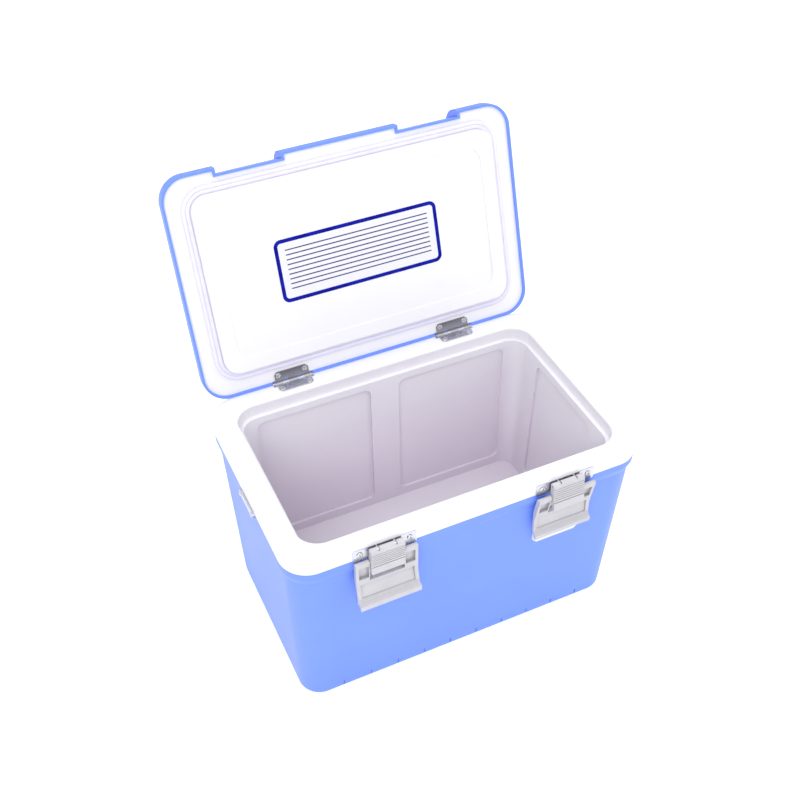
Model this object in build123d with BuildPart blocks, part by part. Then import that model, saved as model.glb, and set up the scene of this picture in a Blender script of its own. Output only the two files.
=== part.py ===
from build123d import *
from math import asin, atan, cos, radians, sin, sqrt, tan
import os

os.makedirs("parts", exist_ok=True)

# Hard vaccine carrier: a foam-filled box with a hinged foam-filled lid and two draw latches.
# Millimetres. X runs to the right, Y to the back and Z up, from the middle of the underside.
# The lid stands open, the latch levers lie down and the clasps hang.

# ---------------------------------------------------------------- driving dimensions
# box
rim_length = 390.0
rim_width = 244.3
rim_top = 238.2
rim_band = 20.9
rim_corner = 30.0
rim_edge_round = 3.0
collar_step = 2.9
collar_depth = 8.3
collar_slope = 10.0
draft_x = 7.6
draft_y = 11.0
base_corner = 24.0
base_edge_round = 5.0
shell_wall = 3.0
foot_width = 14.0
groove_width = 6.0
groove_depth = 1.5

# ticks moulded along the lower edge of the long walls
tick_count = 10
tick_pitch = 31.7
tick_height = 11.0
tick_width = 1.4
tick_depth = 0.9

# liner
opening_length = 346.0
opening_width = 205.0
opening_centre = -3.2
opening_corner = 24.0
opening_edge_round = 2.5
throat_depth = 15.0
ledge = 4.5
cavity_depth = 205.0
liner_draft = 5.0
liner_wall = 5.5
liner_skin = 3.5
panel_depth = 3.0
panel_drop = 9.0
panel_foot = 12.0
pilaster_width = 34.0
corner_pilaster = 20.0
side_panel_length = 110.0
panel_corner = 8.0

# lid, drawn shut and then swung open about the hinge pins
open_angle = 108.7
rim_gap = 1.0
lid_height = 35.0
lid_round = 26.5
lid_corner = 27.5
lid_side_step = 2.5
lid_front_step = 0.05
lid_back_step = 3.65
lid_wall = 2.7
skirt_proud = 2.9
lid_skin = 2.5
plug_depth = 10.0
plug_wall = 2.5
plug_play = 6.5
plug_round = 4.0
recess_border = 16.0
recess_depth = 1.2
seal_width = 8.6
seal_seat = 1.0
seal_play = 0.1
label_length = 184.0
label_width = 68.0
label_thickness = 0.5
label_corner = 6.0

# hinges
hinge_x = 96.5
hinge_y = 118.6
hinge_z = 238.6
barrel_diameter = 5.0
hinge_pin_diameter = 2.6
pin_head = 0.8
pin_play = 0.04
knuckle_length = 8.3
knuckle_gap = 0.2
knuckles = 5
leaf_width = 38.6
leaf_thickness = 1.2
leaf_reach = 12.8
leaf_corner = 3.0
hinge_screw_spacing = 30.2
hinge_screw_back = 8.6
hinge_relief_play = 0.6

# latches
latch_x = 98.5
plate_width = 66.2
plate_height = 15.2
plate_bottom = 215.0
plate_thickness = 0.8
plate_corner = 2.0
latch_screw_spacing = 52.2
latch_screw_height = 8.8
lever_pin_out = 5.25
lever_pin_height = 12.0
pin_diameter = 2.5
lug_spacing = 18.0
lug_thickness = 1.4
lug_radius = 2.4
lug_play = 0.3
lever_width = 35.0
lever_round = 3.8
pin_pitch = 15.3
lever_length = 28.0
lever_back = 2.9
lever_flare = 2.4
lever_lip = 2.2
lever_bend = 10.0
rib_count = 8
rib_pitch = 2.9
rib_depth = 0.6
left_lever_tilt = 4.0
right_lever_tilt = -4.0
left_clasp_tilt = 0.0
right_clasp_tilt = 11.0
clasp_width = 65.0
clasp_window = 36.6
clasp_window_depth = 23.5
clasp_end_round = 3.8
clasp_front = 1.8
clasp_back = 3.4
clasp_wall = 3.0
clasp_straight = 31.0
clasp_belly_out = 5.4
clasp_belly_down = 46.8
clasp_belly_bend = 14.0
clasp_lip_bend = 2.0
clasp_lip_wall = 1.8
clasp_lip_out = 11.0
clasp_lip_top = 48.5
clasp_lip_bottom = 54.7
pocket_inset = 3.0
pocket_top = 2.7
pocket_bottom = 18.7
pocket_depth = 3.0
scoop_depth = 1.6
scoop_side = 4.0

# rest plates under the clasps
rest_width = 54.6
rest_bottom = 137.0
rest_top = 197.0
rest_thickness = 2.5
rest_chamfer = 5.0
rest_slot_length = 34.0
rest_slot_width = 2.2
rest_slot_height = 12.5
peg_diameter = 6.0
peg_length = 2.5
peg_spacing = 30.0

# catches in the lid
notch_width = 69.0
notch_depth = 6.8
catch_top = 258.3
catch_slope = 10.0
catch_hook = 5.5

# strap anchors
anchor_y = -8.0
anchor_length = 40.0
anchor_height = 5.0
anchor_thickness = 2.6
anchor_drop = 0.8
anchor_recess_length = 24.0
anchor_recess_height = 13.0
anchor_recess_depth = 3.4
anchor_screw_spacing = 32.0

# screws
small_head = 5.2
small_shank = 2.4
hinge_head = 5.8
hinge_dome = 0.4
hinge_shank = 3.0
latch_head = 6.0
latch_head_height = 1.7
latch_shank = 3.2
screw_length = 9.0
anchor_screw_length = 7.0

# ---------------------------------------------------------------- derived sizes
rim_bottom = rim_top - rim_band
wall_length = rim_length - 2 * collar_step
wall_width = rim_width - 2 * collar_step
base_length = wall_length - 2 * draft_x
base_width = wall_width - 2 * draft_y
wall_corner = rim_corner - collar_step
collar_top = rim_bottom - collar_depth
collar_bottom = collar_top - collar_slope
rim_front = -rim_width / 2
rim_back = rim_width / 2

margin_z = rim_top + rim_gap + skirt_proud
skirt_z = rim_top + rim_gap
lid_length = rim_length - 2 * lid_side_step
lid_front = rim_front + lid_front_step
lid_back = rim_back - lid_back_step
lid_width = lid_back - lid_front
lid_centre = (lid_back + lid_front) / 2
lid_top = skirt_z + lid_height
notch_edge = lid_front + notch_depth - 0.8

latch_face = rim_front - plate_thickness
lever_pin_y = rim_front - lever_pin_out
lever_pin_z = plate_bottom + lever_pin_height


# ---------------------------------------------------------------- helpers
def turned(plane, pivot_y, pivot_z, angle):
    """The plane turned by angle degrees about the X-parallel line through pivot_y, pivot_z."""
    place = Pos(0, pivot_y, pivot_z) * Rot(angle, 0, 0) * Pos(0, -pivot_y, -pivot_z)
    return Plane(place * plane.location)


def in_lid(plane):
    """A plane of the shut lid, swung open with it about the hinge pins."""
    return turned(plane, hinge_y, hinge_z, -open_angle)


def wall_share(z):
    """How far up the straight wall the height z is, from 0 at the base to 1 at the rim band."""
    return z / rim_bottom


def block(levels):
    """A closed block through rounded rectangles, each level being z, length, width, corner, centre."""
    with BuildPart() as body:
        for z, length, width, corner, centre in levels:
            with BuildSketch(Plane.XY.offset(z)):
                with Locations((0, centre)):
                    RectangleRounded(length, width, corner)
        loft(ruled=True)
    return body.part


def wall_level(z, inset=0.0):
    """The level of the straight outer wall at height z, moved in by inset."""
    share = wall_share(z)
    length = base_length + (wall_length - base_length) * share
    width = base_width + (wall_width - base_width) * share
    corner = base_corner + (wall_corner - base_corner) * share
    return (z, length - 2 * inset, width - 2 * inset, corner - inset, 0)


def liner_level(z, grow=0.0):
    """The level of the cavity below the ledge at height z, moved out by grow."""
    share = (z - liner_floor) / (ledge_z - liner_floor)
    inset = liner_draft * (1 - share) + ledge - grow
    corner = opening_corner - inset
    return (z, opening_length - 2 * inset, opening_width - 2 * inset, corner, opening_centre)


ledge_z = rim_top - throat_depth
liner_floor = rim_top - cavity_depth


def screw(head, head_height, shank, length):
    """A pan-head screw with its bearing face at the origin and its head towards +Z."""
    dome = head_height * 2 / 3
    radius = (head ** 2 / 4 + dome ** 2) / (2 * dome)
    half = asin(head / 2 / radius) / 2
    shoulder = (radius * sin(half), head_height - radius + radius * cos(half))
    with BuildPart() as piece:
        with BuildSketch(Plane.XZ):
            with BuildLine():
                Polyline((0, head_height), (0, -length), (shank / 4, -length), (shank / 2, -length + shank / 2))
                Line((shank / 2, -length + shank / 2), (shank / 2, 0))
                Line((shank / 2, 0), (head / 2, 0))
                Line((head / 2, 0), (head / 2, head_height / 3))
                ThreePointArc((head / 2, head_height / 3), shoulder, (0, head_height))
            make_face()
        revolve(axis=Axis.Z)
    return piece.part


def drill(shank, length, top=0.0):
    """The hole that such a screw leaves, from top above its bearing face down to its point."""
    with BuildPart() as hole:
        with BuildSketch(Plane.XZ):
            with BuildLine():
                Polyline((0, top), (0, -length), (shank / 4, -length), (shank / 2, -length + shank / 2),
                         (shank / 2, top), (0, top))
            make_face()
        revolve(axis=Axis.Z)
    return hole.part


# ---------------------------------------------------------------- where the fasteners stand
hinge_sides = {"left": -hinge_x, "right": hinge_x}
latch_sides = {"left": -latch_x, "right": latch_x}
leaf_top = rim_top + leaf_thickness
leaf_screw_y = hinge_y - hinge_screw_back

body_hinge_screws = [
    Location(Plane((x + side * hinge_screw_spacing / 2, leaf_screw_y, leaf_top)))
    for x in hinge_sides.values()
    for side in (-1, 1)
]
lid_hinge_screws = [
    Location(in_lid(Plane((x + side * hinge_screw_spacing / 2, leaf_screw_y, margin_z - leaf_thickness),
                          x_dir=(1, 0, 0), z_dir=(0, 0, -1))))
    for x in hinge_sides.values()
    for side in (-1, 1)
]
latch_base_screws = [
    Location(Plane((x + side * latch_screw_spacing / 2, latch_face, plate_bottom + latch_screw_height),
                   x_dir=(1, 0, 0), z_dir=(0, -1, 0)))
    for x in latch_sides.values()
    for side in (-1, 1)
]
anchor_z = rim_bottom - anchor_drop - anchor_height / 2
anchor_screws = [
    Location(Plane((end * (rim_length / 2 + anchor_thickness), anchor_y + side * anchor_screw_spacing / 2, anchor_z),
                   x_dir=(0, end, 0), z_dir=(end, 0, 0)))
    for end in (-1, 1)
    for side in (-1, 1)
]

# the front wall as a plane, with its x to the right and its y up the wall
front_lean = draft_y / rim_bottom
front_wall = Plane((0, -base_width / 2, 0), x_dir=(1, 0, 0), z_dir=(0, -1, -front_lean))
wall_run = 1 / cos(atan(front_lean))
rest_pegs = [
    Location(front_wall * Pos(x + side * peg_spacing / 2, (rest_top - 12.0) * wall_run, 0))
    for x in latch_sides.values()
    for side in (-1, 1)
]

anchor_holes = [spot * drill(small_shank, anchor_screw_length) for spot in anchor_screws]
body_hinge_holes = [spot * drill(hinge_shank, screw_length) for spot in body_hinge_screws]
lid_hinge_holes = [spot * drill(hinge_shank, screw_length) for spot in lid_hinge_screws]
latch_base_holes = [spot * drill(latch_shank, screw_length) for spot in latch_base_screws]

# ---------------------------------------------------------------- spaces shared by several pieces
# the room inside the blue wall and under the skin of the white rim, which the foam fills
with BuildPart() as box_room:
    add(block([wall_level(shell_wall, shell_wall), wall_level(rim_bottom, shell_wall)]))
    with BuildSketch(Plane.XY.offset(rim_bottom)):
        RectangleRounded(rim_length - 2 * liner_skin, rim_width - 2 * liner_skin, rim_corner - liner_skin)
    extrude(amount=rim_band - liner_skin)

# the outside of the tub that hangs in the foam
with BuildPart() as tub:
    add(block([liner_level(liner_floor - liner_wall, liner_wall), liner_level(ledge_z, liner_wall)]))
    with BuildSketch(Plane.XY.offset(ledge_z - liner_wall)):
        with Locations((0, opening_centre)):
            RectangleRounded(opening_length + 2 * liner_skin, opening_width + 2 * liner_skin,
                             opening_corner + liner_skin)
    extrude(amount=rim_top - ledge_z + liner_wall)

# the space for bottles: a straight throat, a ledge and a tapered cavity
with BuildPart() as cavity:
    add(block([liner_level(liner_floor), liner_level(ledge_z)]))
    with BuildSketch(Plane.XY.offset(ledge_z)):
        with Locations((0, opening_centre)):
            RectangleRounded(opening_length, opening_width, opening_corner)
    extrude(amount=throat_depth)


def lid_block(inset):
    """The lid's outer form moved in by inset, open pose, from the skirt up."""
    with BuildPart() as dome:
        with BuildSketch(in_lid(Plane.XY.offset(skirt_z))):
            with Locations((0, lid_centre)):
                RectangleRounded(lid_length - 2 * inset, lid_width - 2 * inset, lid_corner - inset)
        extrude(amount=lid_height - inset)
        top = dome.faces().sort_by(lambda face: (face.center() - lid_up_from).dot(lid_up))[-1]
        fillet(top.edges(), lid_round - inset)
    return dome.part


def notch_block(grow):
    """The two latch notches of the lid, with their walls moved in by grow."""
    catch_y = notch_edge + (catch_top - skirt_z) * tan(radians(catch_slope))
    with BuildPart() as cut:
        for x in latch_sides.values():
            with BuildSketch(in_lid(Plane.YZ.offset(x))):
                with BuildLine():
                    Polyline(
                        (lid_front - 20, skirt_z - 5),
                        (notch_edge + grow, skirt_z - 5),
                        (notch_edge + grow, skirt_z),
                        (catch_y + grow, catch_top - grow),
                        (catch_y + catch_hook + grow, catch_top - grow),
                        (catch_y + catch_hook + grow, lid_top + 5),
                        (lid_front - 20, lid_top + 5),
                        close=True,
                    )
                make_face()
            extrude(amount=notch_width / 2 + grow, both=True)
    return cut.part


lid_up_from = in_lid(Plane.XY.offset(skirt_z)).origin
lid_up = in_lid(Plane.XY).z_dir

# the room inside the lid's blue skin
with BuildPart() as lid_room:
    add(lid_block(lid_wall))
    add(notch_block(lid_wall), mode=Mode.SUBTRACT)

# ---------------------------------------------------------------- box: blue outer shell
with BuildPart() as outer_shell:
    add(block([wall_level(0), wall_level(collar_bottom)]))
    fillet(outer_shell.faces().sort_by(Axis.Z)[0].edges(), base_edge_round)
    add(block([wall_level(collar_bottom), (collar_top, rim_length, rim_width, rim_corner, 0)]))
    with BuildSketch(Plane.XY.offset(collar_top)):
        RectangleRounded(rim_length, rim_width, rim_corner)
    extrude(amount=rim_bottom - collar_top)
    add(block([wall_level(shell_wall, shell_wall), wall_level(rim_bottom, shell_wall)]), mode=Mode.SUBTRACT)
    # a shallow stacking groove runs round the underside
    with BuildSketch(Plane.XY):
        RectangleRounded(base_length - 2 * foot_width, base_width - 2 * foot_width, base_corner - foot_width / 2)
        offset(amount=-groove_width, kind=Kind.INTERSECTION, mode=Mode.SUBTRACT)
    extrude(amount=groove_depth, mode=Mode.SUBTRACT)
    # ticks along the lower edge of both long walls
    for side in (-1, 1):
        with Locations(Location((0, side * base_width / 2, tick_height / 2))):
            with GridLocations(tick_pitch, 1, tick_count, 1):
                Box(tick_width, 2 * tick_depth, tick_height, mode=Mode.SUBTRACT)
    # recesses behind the strap anchors
    for side in (-1, 1):
        with Locations((side * rim_length / 2, anchor_y, anchor_z)):
            Box(2 * anchor_recess_depth, anchor_recess_length, anchor_recess_height, mode=Mode.SUBTRACT)
    add(anchor_holes, mode=Mode.SUBTRACT)
    with Locations(*rest_pegs):
        Cylinder(peg_diameter / 2, 2 * peg_length, mode=Mode.SUBTRACT)

# ---------------------------------------------------------------- box: white liner with its rim
with BuildPart() as inner_liner:
    with BuildSketch(Plane.XY.offset(rim_bottom)):
        RectangleRounded(rim_length, rim_width, rim_corner)
    extrude(amount=rim_band)
    fillet(inner_liner.faces().sort_by(Axis.Z)[-1].edges(), rim_edge_round)
    add(box_room.part, mode=Mode.SUBTRACT)
    add(tub.part)
    add(cavity.part, mode=Mode.SUBTRACT)
    rim_face = inner_liner.faces().sort_by(Axis.Z)[-1]
    fillet(rim_face.inner_wires()[0].edges(), opening_edge_round)
    # panels between the pilasters that hold the bottles off the walls
    panel_top = ledge_z - panel_drop
    panel_bottom = liner_floor + panel_foot
    half_span = opening_length / 2 - ledge - corner_pilaster
    panel_length = half_span - pilaster_width / 2
    panel_middle = (half_span + pilaster_width / 2) / 2
    lean_y = liner_draft / (ledge_z - liner_floor)
    for side in (-1, 1):
        wall_foot = opening_centre + side * (opening_width / 2 - ledge - liner_draft)
        back_wall = Plane((0, wall_foot, liner_floor), x_dir=(1, 0, 0), z_dir=(0, -side, lean_y))
        up = 1 if back_wall.y_dir.Z > 0 else -1
        with BuildSketch(back_wall):
            with Locations(*[(m * panel_middle, up * (panel_top + panel_bottom - 2 * liner_floor) / 2)
                             for m in (-1, 1)]):
                RectangleRounded(panel_length, panel_top - panel_bottom, panel_corner)
        extrude(amount=-panel_depth, mode=Mode.SUBTRACT)
        wall_end = side * (opening_length / 2 - ledge - liner_draft)
        end_wall = Plane((wall_end, opening_centre, liner_floor), x_dir=(0, 1, 0), z_dir=(-side, 0, lean_y))
        up = 1 if end_wall.y_dir.Z > 0 else -1
        with BuildSketch(end_wall):
            with Locations((0, up * (panel_top + panel_bottom - 2 * liner_floor) / 2)):
                RectangleRounded(side_panel_length, panel_top - panel_bottom, panel_corner)
        extrude(amount=-panel_depth, mode=Mode.SUBTRACT)
    # room for the hinge barrels in the back edge of the rim
    for x in hinge_sides.values():
        with Locations((x, hinge_y, hinge_z)):
            relief = barrel_diameter / 2 + pin_play * 2
            Box(knuckles * (knuckle_length + knuckle_gap) + hinge_relief_play * 2 + 2.4, 2 * relief + 0.3, 2 * relief,
                mode=Mode.SUBTRACT)
        with Locations((x, (hinge_y + rim_back) / 2 + 1, hinge_z)):
            Box(knuckles * (knuckle_length + knuckle_gap) + hinge_relief_play * 2 + 2.4, rim_back - hinge_y + 2,
                2 * relief, mode=Mode.SUBTRACT)
    add(body_hinge_holes + latch_base_holes, mode=Mode.SUBTRACT)

# ---------------------------------------------------------------- box: foam between shell and liner
with BuildPart() as body_foam:
    add(box_room.part)
    add(tub.part, mode=Mode.SUBTRACT)
    add(body_hinge_holes + latch_base_holes, mode=Mode.SUBTRACT)

# ---------------------------------------------------------------- lid
plug_length = opening_length - 2 * plug_play
plug_width = opening_width - 2 * plug_play
plug_corner = opening_corner - plug_play
foam_z = margin_z + lid_skin


def lid_slab(z, height, length, width, corner, centre=opening_centre, at_x=0.0):
    """A flat rounded slab in the lid, from z of the shut lid upwards by height."""
    with BuildPart() as slab:
        with BuildSketch(in_lid(Plane.XY.offset(z))):
            with Locations((at_x, centre)):
                RectangleRounded(length, width, corner)
        extrude(amount=height)
    return slab.part


def leaf_relief(x):
    """The room that the lid's skirt leaves for a hinge barrel and leaf."""
    with BuildPart() as relief:
        with BuildSketch(in_lid(Plane.XY.offset(skirt_z - 1))):
            with Locations((x, lid_back)):
                Rectangle(knuckles * (knuckle_length + knuckle_gap) + 2 * hinge_relief_play + 2.4, 2 * skirt_side)
        extrude(amount=margin_z - skirt_z + 1)
    return relief.part


skirt_side = lid_wall + 0.3
low_room = lid_slab(skirt_z - 1, margin_z - skirt_z + 1, lid_length, lid_width, lid_corner, lid_centre)
high_room = lid_slab(foam_z, lid_height, lid_length, lid_width, lid_corner, lid_centre)
plug_outside = lid_slab(margin_z - plug_depth, plug_depth, plug_length, plug_width, plug_corner)
plug_inside = lid_slab(margin_z - plug_depth + plug_wall, plug_depth + lid_skin - plug_wall,
                       plug_length - 2 * plug_wall, plug_width - 2 * plug_wall, plug_corner - plug_wall)
seal_top = margin_z + seal_seat
seal_bottom = rim_top + seal_play
seal_ring = (
    lid_slab(seal_bottom, seal_top - seal_bottom, plug_length + 2 * seal_width, plug_width + 2 * seal_width,
             plug_corner + seal_width)
    - lid_slab(seal_bottom, seal_top - seal_bottom, plug_length, plug_width, plug_corner)
)
recess_z = margin_z - plug_depth + recess_depth
recess = lid_slab(margin_z - plug_depth, recess_depth, plug_length - 2 * recess_border,
                  plug_width - 2 * recess_border, plug_corner)
plug_from = in_lid(Plane.XY.offset(margin_z - plug_depth)).origin
lid_reliefs = [leaf_relief(x) for x in hinge_sides.values()]
lid_outside = lid_block(0)
notches = notch_block(0)

# the blue skin of the lid, open below, with its skirt standing round the liner
with BuildPart() as lid_shell:
    add(lid_outside)
    add(notches, mode=Mode.SUBTRACT)
    add(lid_room.part, mode=Mode.SUBTRACT)
    add(lid_reliefs, mode=Mode.SUBTRACT)

# the white inner face of the lid with its raised plug
with BuildPart() as lid_liner:
    add(lid_room.part)
    add([low_room, high_room], mode=Mode.SUBTRACT)
    add(plug_outside)
    plug_face = lid_liner.faces().filter_by(lambda face: abs((face.center() - plug_from).dot(lid_up)) < 0.01)
    fillet(plug_face.edges(), plug_round / 2)
    add(plug_inside, mode=Mode.SUBTRACT)
    add(recess, mode=Mode.SUBTRACT)
    add(seal_ring, mode=Mode.SUBTRACT)
    add(lid_hinge_holes, mode=Mode.SUBTRACT)

# the foam that fills the lid and its plug
with BuildPart() as lid_foam:
    add(lid_room.part)
    add(lid_slab(skirt_z - 1, foam_z - skirt_z + 1, lid_length, lid_width, lid_corner, lid_centre),
        mode=Mode.SUBTRACT)
    add(plug_inside)
    add(lid_hinge_holes, mode=Mode.SUBTRACT)

with BuildPart() as lid_seal:
    add(seal_ring)

with BuildPart() as label_plate:
    add(lid_slab(recess_z - label_thickness, label_thickness, label_length, label_width, label_corner))

# ---------------------------------------------------------------- hinges
barrel_length = knuckles * knuckle_length + (knuckles - 1) * knuckle_gap
bore = hinge_pin_diameter / 2 + pin_play


def knuckle_places(first):
    """The X offsets of every second knuckle of a barrel, starting from knuckle number first."""
    pitch = knuckle_length + knuckle_gap
    return [(number - (knuckles - 1) / 2) * pitch for number in range(first, knuckles, 2)]


def hinge_leaf(x, top, plane_of, first, bore_radius, tangent_z):
    """One leaf of a butt hinge: a flat plate with rounded corners and every second knuckle."""
    front = hinge_y - leaf_reach
    gap = barrel_diameter / 2 + 2 * pin_play
    with BuildPart() as leaf:
        with BuildSketch(plane_of(Plane.XY.offset(top - leaf_thickness))) as plate:
            with Locations((x, (front + hinge_y - gap) / 2)):
                Rectangle(leaf_width, hinge_y - gap - front)
            chamfer(plate.vertices().group_by(Axis.Y)[0], leaf_corner)
        extrude(amount=leaf_thickness)
        for offset in knuckle_places(first):
            with BuildSketch(plane_of(Plane.YZ.offset(x + offset))):
                with Locations((hinge_y, hinge_z)):
                    Circle(barrel_diameter / 2)
                with Locations(((hinge_y - gap + hinge_y) / 2 - 0.5, tangent_z)):
                    Rectangle(gap + 1.0, leaf_thickness)
            extrude(amount=knuckle_length / 2, both=True)
        with BuildSketch(plane_of(Plane.YZ.offset(x))):
            with Locations((hinge_y, hinge_z)):
                Circle(bore_radius)
        extrude(amount=barrel_length, both=True, mode=Mode.SUBTRACT)
    return leaf.part


def flat(plane):
    """A plane that stays with the box."""
    return plane


def hinge_pin(x):
    """The pin through the five knuckles, with a low head at each end."""
    half = barrel_length / 2 + knuckle_gap
    with BuildPart() as pin:
        with BuildSketch(Plane.YZ.offset(x)):
            with Locations((hinge_y, hinge_z)):
                Circle(hinge_pin_diameter / 2)
        extrude(amount=half, both=True)
        for side in (-1, 1):
            with BuildSketch(Plane.YZ.offset(x + side * half)):
                with Locations((hinge_y, hinge_z)):
                    Circle(barrel_diameter / 2 - pin_head / 2)
            extrude(amount=side * pin_head)
        chamfer(pin.edges().sort_by(Axis.X)[-1], pin_head / 2)
        chamfer(pin.edges().sort_by(Axis.X)[0], pin_head / 2)
    return pin.part


# ---------------------------------------------------------------- draw latches
def latch_plate(x):
    """The steel plate screwed to the rim band, with two lugs that carry the lever pin."""
    with BuildPart() as plate:
        with BuildSketch(Plane((x, rim_front, plate_bottom + plate_height / 2), x_dir=(1, 0, 0), z_dir=(0, -1, 0))):
            RectangleRounded(plate_width, plate_height, plate_corner)
        extrude(amount=plate_thickness)
        for side in (-1, 1):
            with BuildSketch(Plane.YZ.offset(x + side * lug_spacing / 2)):
                with Locations((lever_pin_y, lever_pin_z)):
                    Circle(lug_radius)
                with Locations(((lever_pin_y + latch_face) / 2, lever_pin_z)):
                    Rectangle(latch_face - lever_pin_y, 2 * lug_radius)
            extrude(amount=lug_thickness / 2, both=True)
        with BuildSketch(Plane.YZ.offset(x)):
            with Locations((lever_pin_y, lever_pin_z)):
                Circle(pin_diameter / 2)
        extrude(amount=lug_spacing, both=True, mode=Mode.SUBTRACT)
    return plate.part


def cross_pin(place, length):
    """A plain pin along X, centred on place."""
    with BuildPart() as pin:
        with BuildSketch(Plane(place * Plane.YZ.location)):
            Circle(pin_diameter / 2)
        extrude(amount=length / 2, both=True)
        chamfer(pin.edges().filter_by(GeomType.CIRCLE), 0.3)
    return pin.part


def lever_place(x, tilt):
    """The lever's own frame: its top pin, turned by the lever's tilt."""
    return Location((x, lever_pin_y, lever_pin_z)) * Rot(tilt, 0, 0)


def clasp_place(x, lever_tilt, clasp_tilt):
    """The clasp's own frame: the pin at the lever's lower end, turned by the clasp's tilt."""
    pivot = lever_place(x, lever_tilt) * Pos(0, 0, -pin_pitch)
    return Pos(*pivot.position) * Rot(clasp_tilt, 0, 0)


def latch_lever(place):
    """The ribbed lever that swings on the plate's lugs and carries the clasp near its lower end."""
    lever_shoulder = sqrt(lever_round ** 2 - lever_back ** 2)
    with BuildPart() as lever:
        with BuildSketch(Plane(place * Plane.YZ.location)):
            with BuildLine():
                FilletPolyline((-lever_round, 0), (-lever_round, -pin_pitch - pin_diameter / 2),
                               (-lever_round - lever_flare, -lever_length), radius=lever_bend)
                Line((-lever_round - lever_flare, -lever_length), (-lever_round - lever_flare + lever_lip, -lever_length))
                FilletPolyline((-lever_round - lever_flare + lever_lip, -lever_length),
                               (lever_back, -pin_pitch - pin_diameter), (lever_back, lever_shoulder), radius=lever_bend)
                ThreePointArc((lever_back, lever_shoulder), (0, lever_round), (-lever_round, 0))
            make_face()
        extrude(amount=lever_width / 2, both=True)
        # grip ribs across the front
        for rib in range(rib_count):
            height = -lever_round / 2 - rib * rib_pitch
            with BuildSketch(Plane(place * Plane.YZ.location)):
                with Locations((-lever_round - 0.1, height)):
                    Rectangle(2 * rib_depth, rib_pitch / 3)
            extrude(amount=lever_width / 2, both=True, mode=Mode.SUBTRACT)
        # slots that let the lugs in from behind and above
        lug_room = lug_radius + lug_play
        for side in (-1, 1):
            with BuildSketch(Plane(place * Pos(side * lug_spacing / 2, 0, 0) * Plane.YZ.location)):
                Circle(lug_room)
                with Locations((lug_room, 0)):
                    Rectangle(2 * lug_room, 2 * lug_room)
                with Locations((lug_room / 2, lug_room)):
                    Rectangle(3 * lug_room, 2 * lug_room)
            extrude(amount=lug_thickness / 2 + lug_play, both=True, mode=Mode.SUBTRACT)
        with BuildSketch(Plane(place * Plane.YZ.location)):
            Circle(pin_diameter / 2 + pin_play)
            with Locations((0, -pin_pitch)):
                Circle(pin_diameter / 2)
        extrude(amount=lever_width, both=True, mode=Mode.SUBTRACT)
    return lever.part


def latch_clasp(place):
    """The moulded clasp: two ears round a window, a cross rib, a scooped panel and a rolled lip."""
    side_view = Plane(place * Plane.YZ.location)
    belly = (-clasp_belly_out, -clasp_belly_down)
    with BuildPart() as clasp:
        with BuildSketch(side_view):
            with BuildLine():
                FilletPolyline((-clasp_front, 0), (-clasp_front, -clasp_straight), belly,
                               (-clasp_lip_out, -clasp_lip_top), radius=[clasp_belly_bend, clasp_lip_bend])
                Line((-clasp_lip_out, -clasp_lip_top), (-clasp_lip_out, -clasp_lip_bottom))
                Line((-clasp_lip_out, -clasp_lip_bottom), (-clasp_lip_out + clasp_lip_wall, -clasp_lip_bottom))
                FilletPolyline((-clasp_lip_out + clasp_lip_wall, -clasp_lip_bottom),
                               (belly[0] - clasp_lip_wall * 2 / 3, belly[1] - clasp_wall - 0.8),
                               (belly[0] + clasp_wall, belly[1] + 0.6),
                               (clasp_back, -clasp_window_depth + clasp_wall), (clasp_back, 0),
                               radius=[clasp_lip_bend, clasp_lip_bend, clasp_belly_bend])
                ThreePointArc((clasp_back, 0), ((clasp_back - clasp_front) / 2, clasp_end_round - 0.4),
                              (-clasp_front, 0))
            make_face()
        extrude(amount=clasp_width / 2, both=True)
        # the window round the lever
        with BuildSketch(side_view):
            with Locations((0, (clasp_end_round - clasp_window_depth) / 2 + 1)):
                Rectangle(clasp_width, clasp_end_round + clasp_window_depth + 2)
        extrude(amount=clasp_window / 2, both=True, mode=Mode.SUBTRACT)
        # pockets in the ears that pass over the screw heads
        pocket_near = clasp_window / 2 + 1.0
        pocket_far = clasp_width / 2 - pocket_inset
        for side in (-1, 1):
            middle = side * (pocket_near + pocket_far) / 2
            with BuildSketch(Plane(place * Pos(middle, 0, 0) * Plane.YZ.location)):
                with Locations((-clasp_front, -(pocket_top + pocket_bottom) / 2)):
                    Rectangle(2 * pocket_depth, pocket_bottom - pocket_top)
            extrude(amount=(pocket_far - pocket_near) / 2, both=True, mode=Mode.SUBTRACT)
        # the scoop below the cross rib
        with BuildSketch(side_view):
            with BuildLine():
                scoop_top = -clasp_window_depth - clasp_wall
                scoop_end = (belly[0] + scoop_depth, belly[1] + clasp_wall)
                Polyline((-clasp_width, scoop_top), (-clasp_front + scoop_depth, scoop_top),
                         (-clasp_front + scoop_depth, -clasp_straight), scoop_end, (-clasp_width, scoop_end[1]),
                         close=True)
            make_face()
        extrude(amount=clasp_width / 2 - scoop_side, both=True, mode=Mode.SUBTRACT)
        # blind bores for the pin
        with BuildSketch(side_view):
            Circle(pin_diameter / 2 + pin_play)
        extrude(amount=clasp_pin_length / 2 + pin_play, both=True, mode=Mode.SUBTRACT)
    return clasp.part


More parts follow.
